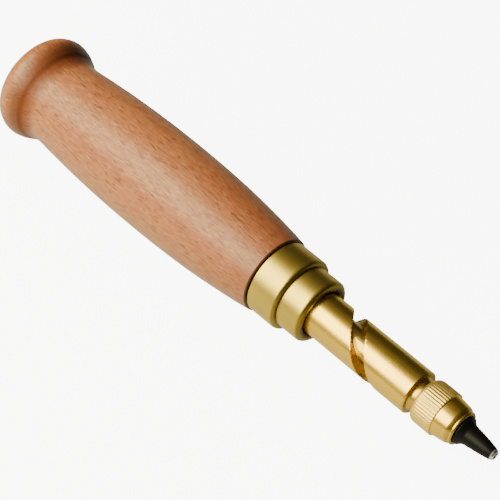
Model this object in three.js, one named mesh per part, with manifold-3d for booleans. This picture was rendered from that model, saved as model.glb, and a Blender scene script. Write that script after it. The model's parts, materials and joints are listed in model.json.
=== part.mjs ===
// Spiral push punch: a wooden handle drives a grooved brass spindle, which turns as it is pushed in.
// Millimetres. The tool's axis lies along +X, towards the cutting tip, and +Z is up.
import * as THREE from "three";
import { mergeVertices } from "three/addons/utils/BufferGeometryUtils.js";
import Module from "manifold-3d";

const wasm = await Module();
wasm.setup();

// ---- Driving dimensions. A station is a distance from the pommel's end along the tool. ----
const LENGTH = 156.0;
const SIDES = 24; // facets round the axis, a flat one at the bottom
const POMMEL_R = 13.85;

const WOOD_END = 89.1; // where the handle's taper meets the ferrule
const WOOD_END_R = 9.85;
const TENON_R = 8.3;
const TENON_END = 95.5;
const BORE_R = 7.0;
const BORE_FLOOR = 27.6;

const TUBE_OUTER_R = 6.85;
const TUBE_INNER_R = 6.15;
const TUBE_START = 30.0;

const FERRULE_R = 9.45;
const FERRULE_START = 89.4;
const FERRULE_FRONT = 97.4;
const FERRULE_ROUNDING = 1.0; // of its front edge
const FERRULE_INNER_R = 8.5;
const FERRULE_WALL_START = 95.7;
const FERRULE_HOLE_R = 7.1;

const COLLAR_R = 8.15;
const COLLAR_START = 97.5;
const COLLAR_FRONT = 104.1;
const COLLAR_ROUNDING = 1.15;
const COLLAR_SPIGOT_R = 6.9;
const COLLAR_SPIGOT_START = 95.8;
const COLLAR_BORE_R = 5.85;

const SPINDLE_R = 5.5;
const SPINDLE_START = 85.6;
const SPINDLE_SHOULDER = 134.0;
const SPINDLE_END = 141.6;
const THREAD_R = 4.1;
const SOCKET_R = 3.0;
const SOCKET_FLOOR = 128.0;
const CENTRE_R = 2.2; // the recess in the spindle's rear end that the follower's point runs in
const CENTRE_DEPTH = 2.0;

const PIN_R = 1.25;
const PIN_STATION = 101.2;
const PIN_ANGLE = THREE.MathUtils.degToRad(244); // from +Y towards +Z
const PIN_TIP_R = 3.8;
const PIN_HEAD_R = 7.85;

const STROKE = 25.0;
const GROOVE_LEAD = 25.0; // right-handed, so its angle grows towards the tip: one turn for the stroke
const GROOVE_WIDTH = 3.4; // across the groove, at the spindle's surface
const GROOVE_FLOOR_R = 3.5;
const GROOVE_PLAY = 0.5; // free length beyond the pin at each end of its travel

const SEAT_R = 6.6;
const SEAT_START = 27.8;
const SEAT_THICKNESS = 2.0;
const FOLLOWER_R = 5.85;
const FOLLOWER_THICKNESS = 3.0;
const SPIGOT_R = 3.3; // the spring's ends are centred on these
const SPIGOT_LENGTH = 4.0;

const WIRE_R = 0.55;
const COIL_R = 4.6;
const ACTIVE_TURNS = 11;
const CLOSED_TURNS = 1.25; // at each end, lying against each other

const NUT_START = 135.7;
const NUT_FRONT = 146.8;
const KNURL_R = 5.56;
const KNURL_DEPTH = 0.22;
const KNURL_FLUTES = 46;
const KNURL_END = 141.8;
const NUT_BORE_R = 4.4;
const NUT_MOUTH_R = 3.35;

const COLLET_START = 129.0;
const COLLET_FRONT = 146.5;
const COLLET_SHANK_R = 2.8;
const COLLET_BORE_R = 2.25;
const COLLET_HEAD_START = 142.2;
const COLLET_HEAD_R = 4.05;
const COLLET_SLOT = 0.6;
const COLLET_SLOT_START = 136.0;

const TIP_START = 131.0;
const TIP_SHANK_R = 2.05;
const TIP_SHOULDER_START = 146.95;
const TIP_SHOULDER_R = 3.65;
const TIP_EDGE_R = 1.1;
const TIP_HOLLOW_R = 0.75;
const TIP_HOLLOW_DEPTH = 5.0;

const GAP = 0.05; // between pieces that sit against each other

// Station and radius along the turned handle, from the dome of the pommel to the ferrule.
const HANDLE_SHAPE = [
  [0, 4.5],
  [0.87, 8.0],
  [2.06, 11.0],
  [3.3, 12.8],
  [4.7, 13.6],
  [6.2, POMMEL_R],
  [8.0, 13.5],
  [9.7, 12.8],
  [11.4, 11.95],
  [14.6, 11.36],
  [20.6, 11.78],
  [31.6, 12.42],
  [44.6, 12.73],
  [57.6, 12.58],
  [68.6, 12.1],
  [77.6, 11.33],
  [84.6, 10.53],
  [87.6, 10.1],
  [WOOD_END, WOOD_END_R],
];

// ---- Helpers ----

// A closed geometry as a manifold-3d solid.
function solid(geometry) {
  const bare = geometry.clone();
  bare.deleteAttribute("normal");
  bare.deleteAttribute("uv");
  const merged = mergeVertices(bare, 1e-4);
  return new wasm.Manifold(
    new wasm.Mesh({
      numProp: 3,
      vertProperties: merged.attributes.position.array,
      triVerts: new Uint32Array(merged.index.array),
    }),
  );
}

// A body of revolution round X, from a list of [station, radius] that runs from rear to front.
function turned(profile, sides = SIDES) {
  const points = profile.map(([station, radius]) => new THREE.Vector2(radius, station));
  const geometry = new THREE.LatheGeometry(points, sides, Math.PI / sides);
  geometry.rotateZ(-Math.PI / 2);
  return solid(geometry);
}

// A solid rod of revolution: the profile is closed onto the axis at both ends.
function rod(profile, sides = SIDES) {
  const first = profile[0];
  const last = profile[profile.length - 1];
  return turned([[first[0], 0], ...profile, [last[0], 0]], sides);
}

function cylinder(from, to, radius, sides = SIDES) {
  return rod([[from, radius], [to, radius]], sides);
}

// A round pin that stands out from the axis at a station, at an angle from +Y towards +Z.
function radialPin(station, angle, radius, innerR, outerR) {
  const geometry = new THREE.CylinderGeometry(radius, radius, outerR - innerR, 20);
  geometry.translate(0, (innerR + outerR) / 2, 0);
  geometry.rotateX(angle);
  geometry.translate(station, 0, 0);
  return solid(geometry);
}

// Points on the quarter circle that rounds a front edge, from the outside inwards.
function roundedFront(outerR, front, rounding, steps = 4) {
  const points = [];
  for (let i = 0; i <= steps; i++) {
    const turn = (i / steps) * (Math.PI / 2);
    points.push([
      front - rounding * (1 - Math.sin(turn)),
      outerR - rounding * (1 - Math.cos(turn)),
    ]);
  }
  return points;
}

// ---- Pieces ----

function woodenHandle() {
  const knots = HANDLE_SHAPE.map(([station, radius]) => new THREE.Vector2(station, radius));
  const outline = new THREE.SplineCurve(knots).getPoints(2 * (knots.length - 1));
  const body = rod([
    ...outline.map((p) => [p.x, p.y]),
    [WOOD_END, TENON_R],
    [TENON_END, TENON_R],
  ]);
  return body.subtract(cylinder(BORE_FLOOR, TENON_END + 1, BORE_R));
}

function ferrule() {
  const body = rod([
    [FERRULE_START, FERRULE_R - 0.25],
    [FERRULE_START + 0.3, FERRULE_R],
    ...roundedFront(FERRULE_R, FERRULE_FRONT, FERRULE_ROUNDING),
  ]);
  return body
    .subtract(cylinder(FERRULE_START - 1, FERRULE_WALL_START, FERRULE_INNER_R))
    .subtract(cylinder(FERRULE_START, FERRULE_FRONT + 1, FERRULE_HOLE_R));
}

function guideCollar() {
  const body = rod([
    [COLLAR_SPIGOT_START, COLLAR_SPIGOT_R],
    [COLLAR_START, COLLAR_SPIGOT_R],
    [COLLAR_START, COLLAR_R - 0.15],
    [COLLAR_START + 0.2, COLLAR_R],
    ...roundedFront(COLLAR_R, COLLAR_FRONT, COLLAR_ROUNDING),
  ]);
  return body
    .subtract(cylinder(COLLAR_SPIGOT_START - 1, COLLAR_FRONT + 1, COLLAR_BORE_R))
    .subtract(radialPin(PIN_STATION, PIN_ANGLE, PIN_R + GAP, PIN_TIP_R, COLLAR_R + 1));
}

function drivePin() {
  return radialPin(PIN_STATION, PIN_ANGLE, PIN_R, PIN_TIP_R, PIN_HEAD_R);
}

function guideTube() {
  return cylinder(TUBE_START, TENON_END, TUBE_OUTER_R).subtract(
    cylinder(TUBE_START - 1, TENON_END + 1, TUBE_INNER_R),
  );
}

// The disc at the blind end of the bore, with the spigot that the spring's end fits over.
function springSeat() {
  const face = SEAT_START + SEAT_THICKNESS;
  return rod([
    [SEAT_START, SEAT_R],
    [face, SEAT_R],
    [face, SPIGOT_R],
    [face + SPIGOT_LENGTH - 0.6, SPIGOT_R],
    [face + SPIGOT_LENGTH, SPIGOT_R - 0.6],
  ]);
}

// The thrust piece that slides in the tube and doesn't turn: a point at the front, a spigot behind.
function springFollower() {
  const front = SPINDLE_START - GAP;
  const back = front - FOLLOWER_THICKNESS;
  return rod([
    [back - SPIGOT_LENGTH, SPIGOT_R - 0.6],
    [back - SPIGOT_LENGTH + 0.6, SPIGOT_R],
    [back, SPIGOT_R],
    [back, FOLLOWER_R],
    [front, FOLLOWER_R],
    [front, CENTRE_R - 0.3],
    [front + CENTRE_DEPTH - 0.4, 0.4],
  ]);
}

class CompressionSpring extends THREE.Curve {
  constructor(start, end) {
    super();
    this.start = start;
    this.end = end;
  }
  // The end turns touch each other and the rest are evenly open.
  getPoint(t, target = new THREE.Vector3()) {
    const turns = t * (ACTIVE_TURNS + 2 * CLOSED_TURNS);
    const closedPitch = 2 * WIRE_R * 1.03;
    const open = this.end - this.start - 2 * CLOSED_TURNS * closedPitch;
    const rear = Math.min(turns, CLOSED_TURNS);
    const middle = THREE.MathUtils.clamp(turns - CLOSED_TURNS, 0, ACTIVE_TURNS);
    const front = Math.max(turns - CLOSED_TURNS - ACTIVE_TURNS, 0);
    const station = this.start + (rear + front) * closedPitch + (middle / ACTIVE_TURNS) * open;
    const angle = 2 * Math.PI * turns;
    return target.set(station, COIL_R * Math.cos(angle), COIL_R * Math.sin(angle));
  }
}

function returnSpring() {
  const start = SEAT_START + SEAT_THICKNESS + WIRE_R + GAP;
  const end = SPINDLE_START - GAP - FOLLOWER_THICKNESS - WIRE_R - GAP;
  const wire = new THREE.Shape().absarc(0, 0, WIRE_R, 0, 2 * Math.PI);
  const geometry = new THREE.ExtrudeGeometry(wire, {
    steps: 190,
    curveSegments: 3,
    bevelEnabled: false,
    extrudePath: new CompressionSpring(start, end),
  });
  return solid(geometry);
}

// The angle of the groove's centre line at a station, from +Y towards +Z.
function grooveAngle(station) {
  return PIN_ANGLE + (2 * Math.PI * (station - PIN_STATION)) / GROOVE_LEAD;
}

// The groove as a box bent onto its helix, with a round cutter at each end.
function grooveCutter() {
  const start = PIN_STATION - GROOVE_PLAY;
  const end = PIN_STATION + STROKE + GROOVE_PLAY;
  const outerR = SPINDLE_R + 1;
  const pitchAngle = Math.atan2(2 * Math.PI * SPINDLE_R, GROOVE_LEAD);
  const box = new THREE.BoxGeometry(end - start, GROOVE_WIDTH, outerR - GROOVE_FLOOR_R, 48, 1, 1);
  const positions = box.attributes.position;
  for (let i = 0; i < positions.count; i++) {
    const middle = (start + end) / 2 + positions.getX(i);
    const across = positions.getY(i);
    const radius = (GROOVE_FLOOR_R + outerR) / 2 + positions.getZ(i);
    const station = middle + across * Math.sin(pitchAngle);
    const angle = grooveAngle(middle) - (across * Math.cos(pitchAngle)) / SPINDLE_R;
    positions.setXYZ(i, station, radius * Math.cos(angle), radius * Math.sin(angle));
  }
  const ends = [start, end].map((station) =>
    radialPin(station, grooveAngle(station), GROOVE_WIDTH / 2, GROOVE_FLOOR_R, outerR),
  );
  const bent = solid(box);
  return bent.add(ends[0]).add(ends[1]);
}

function spindle() {
  const body = rod([
    [SPINDLE_START, SPINDLE_R - 0.5],
    [SPINDLE_START + 0.5, SPINDLE_R],
    [SPINDLE_SHOULDER - 0.2, SPINDLE_R],
    [SPINDLE_SHOULDER, SPINDLE_R - 0.2],
    [SPINDLE_SHOULDER, THREAD_R],
    [SPINDLE_END - 0.3, THREAD_R],
    [SPINDLE_END, THREAD_R - 0.3],
  ]);
  const centre = rod([
    [SPINDLE_START - 1, CENTRE_R],
    [SPINDLE_START, CENTRE_R],
    [SPINDLE_START + CENTRE_DEPTH, 0.6],
  ]);
  return body
    .subtract(grooveCutter())
    .subtract(centre)
    .subtract(cylinder(SOCKET_FLOOR, SPINDLE_END + 1, SOCKET_R));
}

// The knurl is a band of straight V flutes, cut to the nut's outline at both ends.
function knurledBand(outline) {
  const shape = new THREE.Shape();
  for (let i = 0; i < 2 * KNURL_FLUTES; i++) {
    const angle = (Math.PI * i) / KNURL_FLUTES;
    const radius = i % 2 ? KNURL_R - KNURL_DEPTH : KNURL_R;
    const y = radius * Math.cos(angle);
    const z = radius * Math.sin(angle);
    if (i === 0) shape.moveTo(y, z);
    else shape.lineTo(y, z);
  }
  const band = new THREE.ExtrudeGeometry(shape, {
    depth: KNURL_END - NUT_START,
    bevelEnabled: false,
  });
  band.rotateY(Math.PI / 2);
  band.translate(NUT_START, 0, 0);
  return solid(band).intersect(outline);
}

function colletNut() {
  const bandOutline = rod([
    [NUT_START, KNURL_R - 0.65],
    [NUT_START + 0.7, KNURL_R + 0.1],
    [KNURL_END - 0.25, KNURL_R + 0.1],
    [KNURL_END, KNURL_R - 0.1],
  ], 48);
  const nose = rod([
    [KNURL_END - 1, 5.2],
    [KNURL_END + 1.2, 5.0],
    [NUT_FRONT - 1.6, 4.72],
    [NUT_FRONT - 1.5, 4.5],
    [NUT_FRONT - 0.7, 4.2],
    [NUT_FRONT - 0.6, 4.3],
    [NUT_FRONT, 4.05],
  ]);
  const inside = rod([
    [NUT_START - 1, NUT_BORE_R],
    [COLLET_HEAD_START + 0.6, NUT_BORE_R],
    [NUT_FRONT - 0.8, NUT_MOUTH_R],
    [NUT_FRONT + 1, NUT_MOUTH_R],
  ]);
  return knurledBand(bandOutline).add(nose).subtract(inside);
}

// A sleeve with a tapered head, sawn twice so that the nut's taper can close it on the tip.
function collet() {
  const body = rod([
    [COLLET_START, COLLET_SHANK_R],
    [COLLET_HEAD_START, COLLET_SHANK_R],
    [COLLET_HEAD_START, COLLET_HEAD_R],
    [COLLET_HEAD_START + 0.5, COLLET_HEAD_R],
    [COLLET_FRONT - 0.6, NUT_MOUTH_R - 0.3],
    [COLLET_FRONT, NUT_MOUTH_R - 0.3],
  ]);
  let cut = body.subtract(cylinder(COLLET_START - 1, COLLET_FRONT + 1, COLLET_BORE_R));
  const slotLength = COLLET_FRONT + 1 - COLLET_SLOT_START;
  for (const angle of [Math.PI / 4, -Math.PI / 4]) {
    const slot = new THREE.BoxGeometry(slotLength, COLLET_SLOT, 4 * COLLET_HEAD_R);
    slot.rotateX(angle);
    slot.translate(COLLET_SLOT_START + slotLength / 2, 0, 0);
    cut = cut.subtract(solid(slot));
  }
  return cut;
}

function punchTip() {
  const body = rod([
    [TIP_START, TIP_SHANK_R - 0.3],
    [TIP_START + 0.3, TIP_SHANK_R],
    [TIP_SHOULDER_START, TIP_SHANK_R],
    [TIP_SHOULDER_START, TIP_SHOULDER_R],
    [TIP_SHOULDER_START + 0.35, TIP_SHOULDER_R - 0.1],
    [147.8, 3.15],
    [148.2, 2.78],
    [148.6, 2.56],
    [149.2, 2.44],
    [151.0, 2.22],
    [153.0, 1.92],
    [155.0, 1.54],
    [LENGTH - 0.3, TIP_EDGE_R + 0.15],
    [LENGTH, TIP_EDGE_R - 0.1],
  ]);
  return body.subtract(cylinder(LENGTH - TIP_HOLLOW_DEPTH, LENGTH + 1, TIP_HOLLOW_R, 16));
}

// ---- Materials ----

function material(color, roughness, metalness) {
  return new THREE.MeshStandardMaterial({ color, roughness, metalness });
}
const beech = () => material(0xb5784e, 0.5, 0);
const satinBrass = () => material(0xb59c58, 0.4, 1);
const polishedBrass = () => material(0xc9a25c, 0.25, 1);
const springSteel = () => material(0x8d9094, 0.35, 1);
const blackSteel = () => material(0x17171a, 0.45, 0.6);

// ---- Assembly ----

const root = new THREE.Group();

function place(name, made, look) {
  const mesh = made.getMesh();
  const geometry = new THREE.BufferGeometry();
  geometry.setAttribute("position", new THREE.BufferAttribute(mesh.vertProperties, 3));
  geometry.setIndex(new THREE.BufferAttribute(mesh.triVerts, 1));
  geometry.translate(-LENGTH / 2, 0, POMMEL_R * Math.cos(Math.PI / SIDES));
  geometry.computeVertexNormals();
  const placed = new THREE.Mesh(geometry, look);
  placed.name = name;
  root.add(placed);
}

place("wooden_handle", woodenHandle(), beech());
place("ferrule", ferrule(), satinBrass());
place("guide_collar", guideCollar(), satinBrass());
place("drive_pin", drivePin(), springSteel());
place("guide_tube", guideTube(), springSteel());
place("spring_seat", springSeat(), springSteel());
place("return_spring", returnSpring(), springSteel());
place("spring_follower", springFollower(), springSteel());
place("spindle", spindle(), polishedBrass());
place("collet", collet(), springSteel());
place("collet_nut", colletNut(), polishedBrass());
place("punch_tip", punchTip(), blackSteel());

export default root;
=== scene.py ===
"""The looks of the spiral push punch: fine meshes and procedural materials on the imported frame."""

import json
import math

import bpy
import numpy as np
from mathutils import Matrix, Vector


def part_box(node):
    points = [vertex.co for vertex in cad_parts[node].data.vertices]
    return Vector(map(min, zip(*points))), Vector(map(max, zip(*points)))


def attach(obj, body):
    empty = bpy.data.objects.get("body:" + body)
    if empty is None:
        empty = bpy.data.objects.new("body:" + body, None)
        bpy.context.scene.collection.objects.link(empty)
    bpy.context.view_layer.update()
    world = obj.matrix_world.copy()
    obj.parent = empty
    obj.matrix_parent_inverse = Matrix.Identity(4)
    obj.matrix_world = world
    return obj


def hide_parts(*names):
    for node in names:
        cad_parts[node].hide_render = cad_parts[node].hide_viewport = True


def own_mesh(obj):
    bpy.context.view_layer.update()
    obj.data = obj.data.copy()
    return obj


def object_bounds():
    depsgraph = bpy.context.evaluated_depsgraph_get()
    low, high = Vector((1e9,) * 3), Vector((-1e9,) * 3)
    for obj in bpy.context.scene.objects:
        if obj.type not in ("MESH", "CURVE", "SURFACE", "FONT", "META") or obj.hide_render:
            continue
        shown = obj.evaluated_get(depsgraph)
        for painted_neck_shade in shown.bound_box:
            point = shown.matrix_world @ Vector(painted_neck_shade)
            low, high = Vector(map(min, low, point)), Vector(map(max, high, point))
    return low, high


MM = 0.001  # the frame is in metres, the sizes below are in millimetres
SIDES = 144  # points round a turned piece

# Stations on the handle, from its rear end.
POMMEL_CORNER = 10.9
WOOD_FRONT = 89.0

SPINDLE_R = 5.5
NECK_R = 4.1
RECESS_R = 5.2  # on the spindle, what lies inside this radius is groove or neck
GROOVE_WIDTH = 3.4
GROOVE_FLOOR_R = 3.5
GROOVE_PLAY = 0.5  # how far the groove runs on past the pin at each end of the stroke
PIN_PLAY = 0.05  # between the drive pin and its hole

FLUTES = 46
FLUTE_DEPTH = 0.112
KNURL_R = 5.56
KNURL_LENGTH = 6.1

# Dark brass of the painted shade on front faces and inside holes.
PAINTED_SHADE_BRASS = (0.13, 0.09, 0.015)
FLOOR_GLOW = 8.0  # what the floor and the room add where the camera sees them directly

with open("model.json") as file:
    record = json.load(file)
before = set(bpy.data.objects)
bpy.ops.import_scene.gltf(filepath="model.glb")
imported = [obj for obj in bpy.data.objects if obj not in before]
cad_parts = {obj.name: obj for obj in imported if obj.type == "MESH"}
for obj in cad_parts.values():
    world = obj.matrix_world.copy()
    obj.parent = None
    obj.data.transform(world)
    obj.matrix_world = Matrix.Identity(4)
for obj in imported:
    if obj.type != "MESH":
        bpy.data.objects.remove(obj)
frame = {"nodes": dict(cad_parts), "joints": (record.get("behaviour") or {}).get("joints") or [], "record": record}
cad_low, cad_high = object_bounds()

spindle_low, spindle_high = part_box("spindle")
AXIS_Y = (spindle_low[1] + spindle_high[1]) / 2
AXIS_Z = (spindle_low[2] + spindle_high[2]) / 2

# The drive pin's place gives the groove's, and the coupling gives its lead.
pin_low, pin_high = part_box("drive_pin")
PIN_X = (pin_low[0] + pin_high[0]) / 2
PIN_ANGLE = math.atan2(
    (pin_low[2] + pin_high[2]) / 2 - AXIS_Z,
    (pin_low[1] + pin_high[1]) / 2 - AXIS_Y,
)
PIN_HOLE_R = (pin_high[0] - pin_low[0]) / 2 / MM + PIN_PLAY
RADIANS_PER_METRE = next(
    c["ratio"] for c in frame["record"]["behaviour"]["couplings"] if c["joint"] == "spindle_spin"
)
GROOVE_LEAD = 2 * math.pi / RADIANS_PER_METRE / MM
STROKE = next(j for j in frame["joints"] if j["name"] == "press_slide")["range_m"][1] / MM


# ---- Mesh helpers: outlines are lists of (distance along the axis, radius), in millimetres ----


def rear_of(node):
    """The X of a CAD node's rear end, in metres."""
    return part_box(node)[0][0]


def front_of(node):
    """The X of a CAD node's front end, in metres."""
    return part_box(node)[1][0]


def spline(knots, steps):
    """Catmull-Rom points through the knots."""
    padded = [knots[0], *knots, knots[-1]]
    points = []
    for i in range(1, len(padded) - 2):
        p0, p1, p2, p3 = (np.array(padded[i + k], float) for k in (-1, 0, 1, 2))
        for s in range(steps):
            t = s / steps
            points.append(tuple(
                0.5 * (2 * p1 + (p2 - p0) * t + (2 * p0 - 5 * p1 + 4 * p2 - p3) * t**2
                       + (3 * p1 - p0 - 3 * p2 + p3) * t**3)
            ))
    points.append(tuple(knots[-1]))
    return points


def softened(outline, radius, steps):
    """The outline with each of its corners rounded off, the first and last points kept."""
    straight = math.radians(12)  # a smaller bend than this isn't a corner
    points = [outline[0]]
    for before, painted_neck_shade, after in zip(outline, outline[1:], outline[2:]):
        a, c, b = (np.array(p, float) for p in (before, painted_neck_shade, after))
        to_a, to_b = a - c, b - c
        length_a, length_b = np.linalg.norm(to_a), np.linalg.norm(to_b)
        bend = math.acos(np.clip(-to_a @ to_b / (length_a * length_b), -1, 1))
        if bend < straight:
            points.append(tuple(c))
            continue
        cut = min(radius, 0.45 * length_a, 0.45 * length_b)
        start, end = c + to_a / length_a * cut, c + to_b / length_b * cut
        for s in range(steps + 1):
            t = s / steps
            points.append(tuple((1 - t) ** 2 * start + 2 * t * (1 - t) * c + t**2 * end))
    points.append(outline[-1])
    return points


def quarter_round(centre, radius):
    """Points of the quarter circle that rounds a front edge, from the outside to the front face."""
    steps = 8
    points = []
    for s in range(steps + 1):
        turn = math.pi / 2 * s / steps
        points.append((centre[0] + radius * math.sin(turn), centre[1] + radius * math.cos(turn)))
    return points


def make_object(name, vertices, faces):
    mesh = bpy.data.meshes.new(name)
    mesh.from_pydata(vertices, [], faces)
    mesh.update()
    piece = bpy.data.objects.new(name, mesh)
    bpy.context.scene.collection.objects.link(piece)
    return piece


def on_axis(x, radius, angle):
    """A point round the tool's axis, in metres; the angle runs from +Y towards +Z."""
    return (x, AXIS_Y + radius * math.cos(angle), AXIS_Z + radius * math.sin(angle))


def revolve_rings(name, start, rings, closed):
    """A mesh from rings of (distance, [radius at each point round]).

    A ring with a single radius is a point on the axis. If closed, the last ring is joined to the first.
    """
    vertices, faces = [], []
    sides = max(len(radii) for _, radii in rings)
    index = []
    for distance, radii in rings:
        x = start + distance * MM
        if len(radii) == 1:
            index.append([len(vertices)] * sides)
            vertices.append(on_axis(x, 0, 0))
        else:
            index.append(list(range(len(vertices), len(vertices) + sides)))
            for k, radius in enumerate(radii):
                vertices.append(on_axis(x, radius * MM, 2 * math.pi * k / sides))
    pairs = list(zip(index, index[1:]))
    if closed:
        pairs.append((index[-1], index[0]))
    for ring_a, ring_b in pairs:
        for k in range(sides):
            j = (k + 1) % sides
            corners = [ring_a[k], ring_b[k], ring_b[j], ring_a[j]]
            faces.append([c for n, c in enumerate(corners) if c not in corners[:n]])
    return make_object(name, vertices, faces)


def revolve(name, start, outline, closed=False, sides=SIDES):
    """A body of revolution. An open outline starts and ends on the axis."""
    rings = [(d, [r] * sides if r > 1e-6 else [0.0]) for d, r in outline]
    return revolve_rings(name, start, rings, closed)


def smooth(piece, angle):
    """Smooth shading, with edges kept sharp above the angle."""
    piece.data.polygons.foreach_set("use_smooth", [True] * len(piece.data.polygons))
    piece.data.set_sharp_from_angle(angle=math.radians(angle))


def apply_modifiers(piece):
    """The piece's mesh becomes what its modifiers make of it."""
    graph = bpy.context.evaluated_depsgraph_get()
    made = bpy.data.meshes.new_from_object(piece.evaluated_get(graph))
    piece.modifiers.clear()
    piece.data = made
    return piece


def bevel(piece, width):
    """Rounds the edges that a cut has left, by a width in millimetres."""
    step = piece.modifiers.new("bevel", "BEVEL")
    step.width = width * MM
    step.segments = 2
    step.limit_method = "ANGLE"
    step.angle_limit = math.radians(50)
    return apply_modifiers(piece)


def cut_away(piece, cutter):
    step = piece.modifiers.new("cut", "BOOLEAN")
    step.operation = "DIFFERENCE"
    step.solver = "EXACT"
    step.object = cutter
    apply_modifiers(piece)
    bpy.data.objects.remove(cutter)
    return piece


def round_cutter(x, angle, radius, inner, outer):
    """A round rod that stands out from the axis at X, from an inner to an outer radius in millimetres."""
    sides = 40
    vertices = []
    for reach in (inner, outer):
        centre = Vector(on_axis(x, reach * MM, angle))
        across = Vector((0, -math.sin(angle), math.cos(angle)))
        for k in range(sides):
            turn = 2 * math.pi * k / sides
            along = Vector((math.cos(turn), 0, 0)) + across * math.sin(turn)
            vertices.append(centre + along * radius * MM)
    faces = [[k, (k + 1) % sides, sides + (k + 1) % sides, sides + k] for k in range(sides)]
    faces.append(list(range(sides))[::-1])
    faces.append(list(range(sides, 2 * sides)))
    return make_object("round_cutter", vertices, faces)


# ---- Material helpers ----


class Nodes:
    """Short calls for building one node material."""

    def __init__(self, name):
        self.material = bpy.data.materials.new(name)
        self.material.use_nodes = True
        self.tree = self.material.node_tree
        self.shader = self.tree.nodes["Principled BSDF"]

    def add(self, kind, **inputs):
        node = self.tree.nodes.new(kind)
        for key, value in inputs.items():
            self.put(node.inputs[key.replace("_", " ")], value)
        return node

    def put(self, socket, value):
        if isinstance(value, bpy.types.NodeSocket):
            self.tree.links.new(value, socket)
        else:
            socket.default_value = value

    def set(self, **inputs):
        """Values or links for the inputs of the material's shader."""
        for key, value in inputs.items():
            self.put(self.shader.inputs[key.replace("_", " ")], value)

    def linked(self, name):
        """What the shader's input is linked to now."""
        return self.shader.inputs[name].links[0].from_socket

    def place(self):
        """Where the surface is on the piece at rest, in metres."""
        return self.add("ShaderNodeTexCoord").outputs["Object"]

    def facing(self):
        """Which way the surface faces on the piece at rest."""
        return self.add("ShaderNodeTexCoord").outputs["Normal"]

    def part(self, axis, vector):
        """One of the three numbers of a vector."""
        return self.add("ShaderNodeSeparateXYZ", Vector=vector).outputs[axis]

    def noise(self, scale, detail=2.0, rough=0.5, distortion=0.0, rotation=(0, 0, 0)):
        """Noise with a scale per millimetre along each axis, turned by a rotation in degrees."""
        mapping = self.add(
            "ShaderNodeMapping",
            Vector=self.place(),
            Scale=tuple(s / MM for s in scale),
            Rotation=tuple(math.radians(r) for r in rotation),
        )
        node = self.add(
            "ShaderNodeTexNoise",
            Vector=mapping.outputs["Vector"],
            Scale=1.0,
            Detail=detail,
            Roughness=rough,
            Distortion=distortion,
        )
        return node.outputs["Fac"]

    def ramp(self, factor, *stops):
        """A colour ramp from (position, value or colour) stops."""
        node = self.add("ShaderNodeValToRGB", Fac=factor)
        elements = node.color_ramp.elements
        while len(elements) < len(stops):
            elements.new(0.5)
        for element, (position, value) in zip(elements, stops):
            element.position = position
            element.color = (*value, 1) if isinstance(value, tuple) else (value, value, value, 1)
        return node.outputs["Color"]

    def mix(self, factor, a, b):
        """From a to b, each a link or a colour."""
        node = self.tree.nodes.new("ShaderNodeMix")
        node.data_type = "RGBA"
        self.put(node.inputs["Factor"], factor)
        self.put(node.inputs["A"], a if isinstance(a, bpy.types.NodeSocket) else (*a, 1))
        self.put(node.inputs["B"], b if isinstance(b, bpy.types.NodeSocket) else (*b, 1))
        return node.outputs["Result"]

    def math(self, operation, *values):
        node = self.tree.nodes.new("ShaderNodeMath")
        node.operation = operation
        for socket, value in zip(node.inputs, values):
            self.put(socket, value)
        return node.outputs["Value"]

    def vector_math(self, operation, a, b):
        node = self.tree.nodes.new("ShaderNodeVectorMath")
        node.operation = operation
        self.put(node.inputs[0], a)
        self.put(node.inputs[1], b)
        return node.outputs

    def band(self, start, end):
        """1 between two places along X, in metres, and 0 elsewhere."""
        return self.math("COMPARE", self.part("X", self.place()), (start + end) / 2, (end - start) / 2)

    def near(self, centre, reach):
        """0.7 at a place along X, in metres, falling to 0 at the reach on each side."""
        away = self.math("ABSOLUTE", self.math("SUBTRACT", self.part("X", self.place()), centre))
        return self.ramp(self.math("DIVIDE", away, reach), (0.0, 0.7), (1.0, 0.0))

    def facing_forward(self, start, full):
        """Rises from 0 to 1 as the surface turns from sideways towards +X."""
        return self.ramp(self.part("X", self.facing()), (start, 0.0), (full, 1.0))

    def off_axis(self):
        """The vector from the tool's axis to the surface, in millimetres."""
        away = self.vector_math("SUBTRACT", self.place(), (0, AXIS_Y, AXIS_Z))["Vector"]
        return self.vector_math("MULTIPLY", away, (0, 1 / MM, 1 / MM))["Vector"]

    def towards(self, direction, reach):
        """0 at the tool's axis, rising to 1 at the reach, in millimetres, in one direction."""
        along = self.vector_math("DOT_PRODUCT", self.off_axis(), direction)["Value"]
        return self.ramp(self.math("DIVIDE", along, reach), (0.0, 0.0), (1.0, 1.0))

    def facing_inward(self):
        """1 on the walls of holes round the tool's axis, 0 on its outside."""
        outward = self.vector_math("DOT_PRODUCT", self.off_axis(), self.facing())["Value"]
        return self.math("LESS_THAN", outward, -0.5)

    def inside(self, radius):
        """1 nearer to the tool's axis than the radius, in millimetres, and 0 outside it."""
        distance = self.vector_math("DISTANCE", self.off_axis(), (0, 0, 0))["Value"]
        return self.math("LESS_THAN", distance, radius)

    def bump(self, height, distance, strength, normal=None):
        """Relief as deep as the distance, in millimetres, on top of another relief if there is one."""
        node = self.add("ShaderNodeBump", Height=height, Distance=distance * MM, Strength=strength)
        if normal is not None:
            self.put(node.inputs["Normal"], normal)
        return node.outputs["Normal"]


# ---- Materials ----


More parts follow.
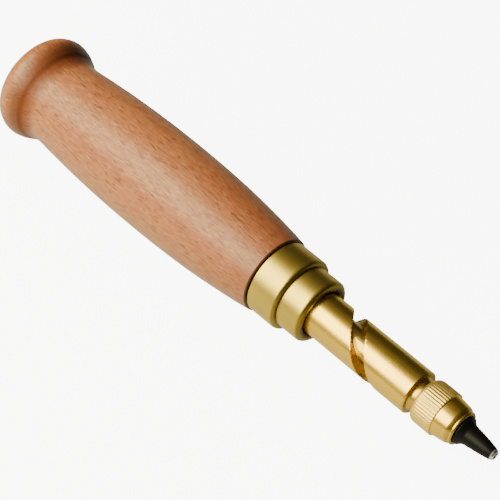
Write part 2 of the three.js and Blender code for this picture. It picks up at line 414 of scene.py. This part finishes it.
def wood_material():
    """Reddish varnished hardwood with short fine grain, paler on one side, with painted shade before the pommel.
    """
    n = Nodes("turned_hardwood")
    rear = rear_of("wooden_handle")
    runout = (0, 4, -10)  # degrees by which the grain leaves the axis
    rings = n.noise((0.012, 0.22, 0.22), detail=3, rough=0.55, distortion=0.6, rotation=runout)
    fibre = n.noise((0.15, 2.9, 2.9), detail=3, rough=0.65, rotation=runout)
    fleck = n.noise((0.42, 2.1, 2.1), detail=2, rough=0.55, distortion=0.2, rotation=runout)
    pale_fleck = n.noise((0.5, 2.6, 2.6), detail=1.0, rough=0.5, rotation=(8, 4, -10))
    mottle = n.noise((0.4, 1.2, 1.2), detail=4, rough=0.7, rotation=(6, 4, -10))
    patch = n.noise((0.03, 0.07, 0.07), detail=2)
    # Paler towards -Y and downwards.
    paler_side = n.towards((0, -0.7, -0.7), 9.0)
    # Painted shade in the crease in front of the pommel; the sheen is lowered there too.
    painted_neck_shade = n.near(rear + POMMEL_CORNER * MM, 4.0 * MM)
    # Painted shade on surfaces that face forward, darkest on the pommel's front slope.
    painted_front_shade = n.facing_forward(0.0, 0.55)
    # Painted shade, near black, on forward slopes on the side away from the key light.
    painted_far_side_shade = n.math("MULTIPLY", painted_front_shade, n.towards((0, 0.94, 0.34), 11.0))
    front, half_line = rear + WOOD_FRONT * MM, 0.22 * MM
    burnt_line = n.band(front - half_line, front + half_line)
    base = n.mix(n.ramp(rings, (0.35, 0.0), (0.68, 1.0)), (0.335, 0.096, 0.04), (0.4, 0.134, 0.057))
    layers = (
        (n.ramp(patch, (0.35, 0.0), (0.7, 0.55)), (0.425, 0.17, 0.066)),
        (n.math("MULTIPLY", paler_side, 0.65), (0.42, 0.185, 0.068)),
        (n.ramp(fibre, (0.36, 0.65), (0.58, 0.0)), (0.27, 0.073, 0.021)),
        (n.ramp(mottle, (0.35, 0.4), (0.56, 0.0)), (0.23, 0.06, 0.017)),
        (n.ramp(fleck, (0.33, 0.75), (0.46, 0.0)), (0.13, 0.034, 0.012)),
        (n.ramp(pale_fleck, (0.56, 0.0), (0.7, 0.35)), (0.58, 0.27, 0.12)),
        # Painted shade before the pommel, on forward faces and darkest on their far side.
        (painted_neck_shade, (0.17, 0.042, 0.016)),
        (painted_front_shade, (0.13, 0.033, 0.012)),
        (painted_far_side_shade, (0.022, 0.006, 0.0025)),
        (burnt_line, (0.05, 0.018, 0.007)),
    )
    for cover, color in layers:
        base = n.mix(cover, base, color)
    pores = n.ramp(fleck, (0.35, 0.0), (0.46, 1.0))
    relief = n.bump(fibre, 0.02, 0.5, n.bump(pores, 0.05, 0.6))
    n.set(Base_Color=base, Roughness=n.ramp(fibre, (0.3, 0.42), (0.7, 0.31)), Normal=relief)
    # Less sheen where the shade before the pommel is painted.
    n.set(Specular_IOR_Level=n.math("SUBTRACT", 0.52, n.math("MULTIPLY", painted_neck_shade, 0.6)))
    n.set(Specular_Tint=(1.0, 0.88, 0.78, 1))
    return n.material


def brass_material(name, color, stained, roughness, lines):
    """Machined brass, a little stained. The lines are the scale of its fine tool marks along each axis."""
    n = Nodes(name)
    marks = n.noise(lines, detail=2, rough=0.6)
    stain = n.noise((0.09, 0.14, 0.14), detail=4, rough=0.6)
    low, high = roughness
    marked = n.ramp(marks, (0.3, low), (0.7, high))
    blotched = n.ramp(stain, (0.3, high), (0.7, low))
    n.set(Base_Color=n.mix(n.ramp(stain, (0.3, 0.0), (0.75, 1.0)), stained, color), Metallic=1.0)
    n.set(Roughness=n.mix(0.5, marked, blotched), Normal=n.bump(marks, 0.0035, 0.5))
    return n


def tint(n, amount, strength, color):
    """Mixes a colour into a brass, by the strength where the amount is 1."""
    n.set(Base_Color=n.mix(n.math("MULTIPLY", amount, strength), n.linked("Base Color"), color))


def satin_brass_material():
    """The brass of the ferrule and the collar, with painted shade on its front faces and inside its holes."""
    n = brass_material(
        "satin_brass",
        color=(0.64, 0.45, 0.075),
        stained=(0.54, 0.36, 0.055),
        roughness=(0.3, 0.4),
        lines=(9.0, 0.5, 0.5),
    )
    # Painted shade on the faces that look forward.
    tint(n, n.facing_forward(0.3, 0.72), 0.75, PAINTED_SHADE_BRASS)
    # Painted shade inside the holes.
    tint(n, n.facing_inward(), 0.9, PAINTED_SHADE_BRASS)
    return n.material


def polished_brass_material():
    """Spindle and nut brass, with painted shade in the groove, neck and front faces, and a painted highlight on
    the knurl.
    """
    n = brass_material(
        "polished_brass",
        color=(0.84, 0.54, 0.075),
        stained=(0.76, 0.46, 0.055),
        roughness=(0.22, 0.33),
        lines=(0.3, 4.0, 4.0),
    )
    nut_rear = rear_of("collet_nut")
    front_face = n.facing_forward(0.3, 0.72)
    recess = n.math("MULTIPLY", n.band(spindle_low[0], nut_rear), n.inside(RECESS_R))
    knurl = n.band(nut_rear, nut_rear + KNURL_LENGTH * MM)
    nose = n.band(nut_rear + 6.4 * MM, front_of("collet_nut") + 0.3 * MM)  # past the front face
    # Painted shade: darker brass in the groove and the neck.
    tint(n, recess, 0.5, (0.36, 0.235, 0.05))
    # Painted shade on faces that look forward, more on the nut's nose.
    tint(n, front_face, 0.3, PAINTED_SHADE_BRASS)
    tint(n, n.math("MULTIPLY", front_face, nose), 0.6, PAINTED_SHADE_BRASS)
    # Painted highlight: the knurl's brass is made paler and brighter.
    tint(n, knurl, 0.3, (0.95, 0.74, 0.28))
    worn_rough = n.math("MULTIPLY", knurl, 0.85)
    n.set(Roughness=n.mix(worn_rough, n.linked("Roughness"), (0.5, 0.5, 0.5)))
    return n.material


def steel_material():
    n = Nodes("bright_steel")
    marks = n.noise((6.0, 0.8, 0.8), detail=2)
    n.set(Base_Color=(0.48, 0.49, 0.51, 1), Metallic=1.0)
    n.set(Roughness=n.ramp(marks, (0.3, 0.22), (0.7, 0.36)), Normal=n.bump(marks, 0.004, 0.5))
    return n.material


def black_oxide_material():
    """Black oxide on steel, worn bright over the last half millimetre before the cutting edge."""
    n = Nodes("black_oxide_steel")
    grain = n.noise((5.0, 5.0, 5.0), detail=3, rough=0.7)
    behind = n.math("SUBTRACT", front_of("punch_tip"), n.part("X", n.place()))
    ragged = n.math("ADD", n.math("DIVIDE", behind, MM), n.math("MULTIPLY", grain, 0.35))
    bright = n.ramp(ragged, (0.72, 1.0), (0.9, 0.0))
    n.set(Base_Color=n.mix(bright, (0.003, 0.0028, 0.0022), (0.62, 0.61, 0.6)))
    n.set(Metallic=bright, Specular_IOR_Level=0.12)
    n.set(Roughness=n.ramp(bright, (0.0, 0.4), (1.0, 0.25)), Normal=n.bump(grain, 0.008, 0.5))
    return n.material


# ---- Pieces ----


def finish_piece(piece, body, node, material, angle=35):
    smooth(piece, angle)
    piece.data.materials.clear()
    piece.data.materials.append(material)
    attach(piece, body)
    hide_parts(node)
    return piece


def handle_piece():
    """Pommel, neck, belly and taper, with the seat of the ferrule in front and the bore inside."""
    shape = spline([
        (0, 4.5), (0.87, 8.0), (2.06, 11.0), (3.3, 12.8), (4.7, 13.6), (6.2, 13.85), (8.0, 13.5),
        (9.7, 12.8), (11.4, 11.95), (14.6, 11.36), (20.6, 11.78), (31.6, 12.42), (44.6, 12.73),
        (57.6, 12.58), (68.6, 12.1), (77.6, 11.33), (84.6, 10.53), (87.6, 10.1), (88.9, 9.88),
    ], 10)
    seat = [(89.1, 9.7), (89.1, 8.3), (95.5, 8.3)]
    bore = [(95.5, 7.0), (27.6, 7.0), (27.6, 0)]
    outline = [(0, 0), (0, 2.2), *shape, *seat, *bore]
    return revolve("turned_handle", rear_of("wooden_handle"), outline, sides=192)


def ferrule_piece():
    """The cap over the handle's seat, with the hole that the collar sits in."""
    outer = [(0, 9.2), (0.2, 9.45), (6.95, 9.45), *quarter_round((7.0, 8.45), 1.0), (8.0, 7.1)]
    outline = [(0, 8.85), *outer, (6.3, 7.1), (6.3, 8.5), (0, 8.5)]
    return revolve("ferrule_ring", rear_of("ferrule"), outline, closed=True)


def collar_piece():
    """The stepped ring that the spindle slides through, with the drive pin's hole in its side."""
    outer = [(1.7, 8.0), (1.85, 8.15), (7.1, 8.15), *quarter_round((7.15, 7.0), 1.15)]
    bore = [(8.3, 6.3), (8.15, 6.05), (7.85, 5.85), (0, 5.85)]
    outline = [(0, 6.4), (0, 6.9), (1.7, 6.9), *outer, *bore]
    piece = revolve("stop_collar", rear_of("guide_collar"), outline, closed=True)
    pin_hole = round_cutter(PIN_X, PIN_ANGLE, PIN_HOLE_R, 5.0, 9.0)
    return bevel(cut_away(piece, pin_hole), 0.08)


def groove_cutter(start, end, angle_at_start):
    """A slot with round ends, bent onto a right-handed helix on the spindle.

    The start and the end are the centres of the round ends, in millimetres from the spindle's rear.
    """
    pitch = math.atan2(2 * math.pi * SPINDLE_R, GROOVE_LEAD)
    half = GROOVE_WIDTH / 2
    run = (end - start) / math.cos(pitch)
    first_turn = 0.12  # radians; at 0 the slot would start with an edge of no length
    lengths = [-half * math.cos(t) for t in np.linspace(first_turn, math.pi / 2, 10)]
    lengths += list(np.linspace(0, run, 180)[1:-1])
    lengths += [run + half * math.cos(t) for t in np.linspace(math.pi / 2, first_turn, 10)]
    across_steps = 8
    vertices, faces = [], []
    for layer_r in (GROOVE_FLOOR_R, SPINDLE_R + 0.8):
        for length in lengths:
            over = max(-length, length - run, 0.0)
            reach = math.sqrt(max(half**2 - over**2, 0.0))
            for k in range(across_steps + 1):
                across = reach * (2 * k / across_steps - 1)
                station = start + length * math.cos(pitch) + across * math.sin(pitch)
                along = length * math.sin(pitch) - across * math.cos(pitch)
                angle = angle_at_start + along / SPINDLE_R
                vertices.append(on_axis(spindle_low[0] + station * MM, layer_r * MM, angle))
    row = across_steps + 1
    layer = row * len(lengths)
    for i in range(len(lengths) - 1):
        for k in range(across_steps):
            a, b = i * row + k, i * row + k + 1
            c, d = b + row, a + row
            faces.append([a, b, c, d])
            faces.append([layer + a, layer + d, layer + c, layer + b])
        left, right = i * row, i * row + across_steps
        faces.append([left, left + row, layer + left + row, layer + left])
        faces.append([right, layer + right, layer + right + row, right + row])
    last = (len(lengths) - 1) * row
    for k in range(across_steps):
        faces.append([k, layer + k, layer + k + 1, k + 1])
        faces.append([last + k, last + k + 1, layer + last + k + 1, layer + last + k])
    return make_object("groove_cutter", vertices, faces)


def spindle_piece():
    """The rod with its spiral groove, and the thinner neck in front with the collet's bore."""
    rod = [(0, 0), (0, 5.0), (0.5, SPINDLE_R), *((d, SPINDLE_R) for d in np.linspace(1.5, 47.5, 70))]
    shoulder = [(48.1, SPINDLE_R), (48.4, 5.25), (48.42, 4.35), (48.7, 4.12), (49.2, 4.02)]
    neck = [(49.8, NECK_R), (55.7, NECK_R), (56.0, 3.8)]
    bore = [(56.0, 3.0), (42.4, 3.0), (42.4, 0)]
    piece = revolve("grooved_spindle", spindle_low[0], [*rod, *shoulder, *neck, *bore])
    pin_station = (PIN_X - spindle_low[0]) / MM
    angle = PIN_ANGLE - 2 * math.pi * GROOVE_PLAY / GROOVE_LEAD
    cutter = groove_cutter(pin_station - GROOVE_PLAY, pin_station + STROKE + GROOVE_PLAY, angle)
    return bevel(cut_away(piece, cutter), 0.1)


def nut_piece():
    """The collet nut: a band of narrow straight flutes, a smooth nose and a thin rim."""
    steps = 10  # points across each flute
    sides = FLUTES * steps
    fluted = [
        KNURL_R - FLUTE_DEPTH / 2 * (1 - math.cos(2 * math.pi * k / steps)) for k in range(sides)
    ]
    knurl_limits = [
        (0.0, 4.85), (0.1, 4.98), (0.35, 5.2), (0.65, 5.38), (1.0, 5.5), (1.4, KNURL_R),
        (3.0, KNURL_R), (5.0, KNURL_R), (5.85, KNURL_R), (6.02, 5.5), (KNURL_LENGTH, 5.4),
    ]
    rings = [(d, [min(r, limit) for r in fluted]) for d, limit in knurl_limits]
    nose = [(KNURL_LENGTH, 5.3), (6.12, 5.12), (6.5, 5.1), (7.6, 4.98), (9.4, 4.75), (9.75, 4.6)]
    rim = [(10.2, 4.36), (10.42, 4.18), (10.5, 4.3), (10.7, 4.32), (11.0, 4.16), (11.1, 4.0)]
    bore = [(11.1, 3.4), (10.3, 3.35), (7.1, 4.4), (0.3, 4.4), (0, 4.6), (0, 4.8)]
    rings += [(d, [r] * sides) for d, r in softened([*nose, *rim, *bore], 0.1, 3)]
    return revolve_rings("knurled_nut", rear_of("collet_nut"), rings, closed=True)


def tip_piece():
    """The shank in the collet, the flange, the taper, and the bore behind the cutting edge."""
    shank = [(0, 0), (0, 1.75), (0.3, 2.05), (15.95, 2.05)]
    flange = [(15.95, 3.55), (16.05, 3.65), (16.35, 3.55), (16.8, 3.15), (17.2, 2.78), (17.6, 2.56)]
    taper = [(18.2, 2.44), (20.0, 2.22), (22.0, 1.92), (24.0, 1.54), (24.7, 1.25), (24.93, 1.1)]
    bore = [(25.0, 0.95), (25.0, 0.8), (24.8, 0.75), (20.0, 0.75), (20.0, 0)]
    outline = softened([*shank, *flange, *taper, *bore], 0.3, 4)
    return revolve("hollow_tip", rear_of("punch_tip"), outline, sides=96)


def spring_piece():
    """The return spring, closed at both ends, from the seat to the follower."""
    wire, coil = 0.55, 4.6  # radius of the wire, and of the coil at the wire's middle
    open_turns, closed_turns = 11, 1.25  # the closed ones are at each end
    start = rear_of("return_spring") / MM + wire
    end = front_of("return_spring") / MM - wire
    closed_pitch = 2 * wire * 1.03
    open_length = end - start - 2 * closed_turns * closed_pitch
    turns = open_turns + 2 * closed_turns
    steps, around = int(turns * 36), 12
    centres = []
    for s in range(steps + 1):
        turn = turns * s / steps
        closed = min(turn, closed_turns) + max(turn - closed_turns - open_turns, 0)
        opened = min(max(turn - closed_turns, 0), open_turns)
        x = start + closed * closed_pitch + opened / open_turns * open_length
        centres.append(Vector(on_axis(x * MM, coil * MM, 2 * math.pi * turn)))
    vertices, faces = [], []
    for s, centre in enumerate(centres):
        tangent = (centres[min(s + 1, steps)] - centres[max(s - 1, 0)]).normalized()
        outward = (centre - Vector((centre.x, AXIS_Y, AXIS_Z))).normalized()
        side = tangent.cross(outward).normalized()
        for k in range(around):
            turn = 2 * math.pi * k / around
            vertices.append(centre + wire * MM * (outward * math.cos(turn) + side * math.sin(turn)))
    for s in range(steps):
        for k in range(around):
            a = s * around + k
            b = s * around + (k + 1) % around
            faces.append([a, b, b + around, a + around])
    faces.append(list(range(around))[::-1])
    faces.append([steps * around + k for k in range(around)])
    return make_object("coil_spring", vertices, faces)


# ---- Stage: a pale floor, one large soft light, and a room that is dark on the other side ----


def make_floor():
    """A pale floor that glows where it is seen directly, so that shadows on it stay faint."""
    half = 3.0
    z = cad_low[2] - 0.2 * MM
    corners = [(-half, -half, z), (half, -half, z), (half, half, z), (-half, half, z)]
    floor = make_object("floor", corners, [[0, 1, 2, 3]])
    n = Nodes("pale_floor")
    per_metre, under_tool = 12.0, 0.4  # the floor's colour darkens from in front of the tool to behind it, a painted shade behind the tool
    behind = n.math("ADD", n.math("MULTIPLY", n.part("Y", n.place()), per_metre), under_tool)
    n.set(Base_Color=n.ramp(behind, (0.0, 0.62), (1.0, 0.3)), Roughness=0.9, Specular_IOR_Level=0.1)
    seen_directly = n.add("ShaderNodeLightPath").outputs["Is Camera Ray"]
    n.set(Emission_Color=(1, 1, 1, 1), Emission_Strength=n.math("MULTIPLY", seen_directly, FLOOR_GLOW))
    floor.data.materials.append(n.material)


def make_key_light():
    """One large soft light above, on the camera's side and towards the pommel, facing the tool's middle."""
    light = bpy.data.lights.new("key", "AREA")
    light.shape = "RECTANGLE"
    light.size = 1.3
    light.size_y = 0.75
    light.energy = 30
    light.color = (1.0, 0.99, 0.64)
    lamp = bpy.data.objects.new("key", light)
    distance = 0.9
    toward = Vector((-0.30, -0.60, 0.74)).normalized()
    lamp.location = Vector((0, AXIS_Y, AXIS_Z)) + toward * distance
    lamp.rotation_euler = toward.to_track_quat("Z", "Y").to_euler()
    bpy.context.scene.collection.objects.link(lamp)


def make_world():
    """A room that is pale on the side of the key light and dark on the other, for contrast in the metal."""
    world = bpy.data.worlds.new("studio")
    world.use_nodes = True
    tree = world.node_tree
    where = tree.nodes.new("ShaderNodeTexCoord")
    facing = tree.nodes.new("ShaderNodeVectorMath")
    facing.operation = "DOT_PRODUCT"
    facing.inputs[1].default_value = Vector((-0.25, -0.60, 0.75)).normalized()
    tree.links.new(where.outputs["Generated"], facing.inputs[0])
    level = tree.nodes.new("ShaderNodeFloatCurve")
    curve = level.mapping.curves[0]
    curve.points[0].location = (0.0, 0.06)
    curve.points[1].location = (1.0, 0.6)
    for position, brightness in ((0.1, 0.07), (0.42, 0.18), (0.64, 0.22), (0.76, 0.46)):
        curve.points.new(position, brightness)
    level.mapping.update()
    tree.links.new(facing.outputs["Value"], level.inputs["Value"])
    seen_directly = tree.nodes.new("ShaderNodeLightPath").outputs["Is Camera Ray"]
    strength = tree.nodes.new("ShaderNodeMath")
    strength.operation = "MULTIPLY_ADD"
    strength.inputs[1].default_value = FLOOR_GLOW
    tree.links.new(seen_directly, strength.inputs[0])
    tree.links.new(level.outputs["Value"], strength.inputs[2])
    background = tree.nodes["Background"]
    background.inputs["Color"].default_value = (0.93, 0.89, 1, 1)
    tree.links.new(strength.outputs["Value"], background.inputs["Strength"])
    bpy.context.scene.world = world


def make_camera():
    """A long lens that looks down on the tool from the front right, the tip nearest to it."""
    data = bpy.data.cameras.new("camera")
    data.sensor_width = 36
    data.lens = 122.4
    camera = bpy.data.objects.new("camera", data)
    azimuth, elevation = math.radians(46.7), math.radians(50.4)
    back = Vector((
        math.sin(azimuth) * math.cos(elevation),
        -math.cos(azimuth) * math.cos(elevation),
        math.sin(elevation),
    ))
    rear_on_axis = Vector((cad_low[0], AXIS_Y, AXIS_Z))
    camera.location = rear_on_axis + Vector((0.2623, -0.1713, 0.3037))
    camera.rotation_euler = back.to_track_quat("Z", "Y").to_euler()
    bpy.context.scene.collection.objects.link(camera)
    bpy.context.scene.camera = camera


# ---- Build ----

make_camera()
make_world()
make_floor()
make_key_light()

wood = wood_material()
satin_brass = satin_brass_material()
polished_brass = polished_brass_material()
steel = steel_material()
black_oxide = black_oxide_material()

finish_piece(handle_piece(), "handle", "wooden_handle", wood)
finish_piece(ferrule_piece(), "handle", "ferrule", satin_brass)
finish_piece(collar_piece(), "handle", "guide_collar", satin_brass)
finish_piece(spindle_piece(), "spindle", "spindle", polished_brass)
finish_piece(nut_piece(), "nut", "collet_nut", polished_brass, 60)
finish_piece(tip_piece(), "tip", "punch_tip", black_oxide)

spring = finish_piece(spring_piece(), "handle", "return_spring", steel)
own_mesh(spring)

# The pieces whose shapes stay as the CAD has them.
for node in ("drive_pin", "guide_tube", "spring_seat", "spring_follower", "collet"):
    part = frame["nodes"][node]
    part.data.materials.clear()
    part.data.materials.append(steel)
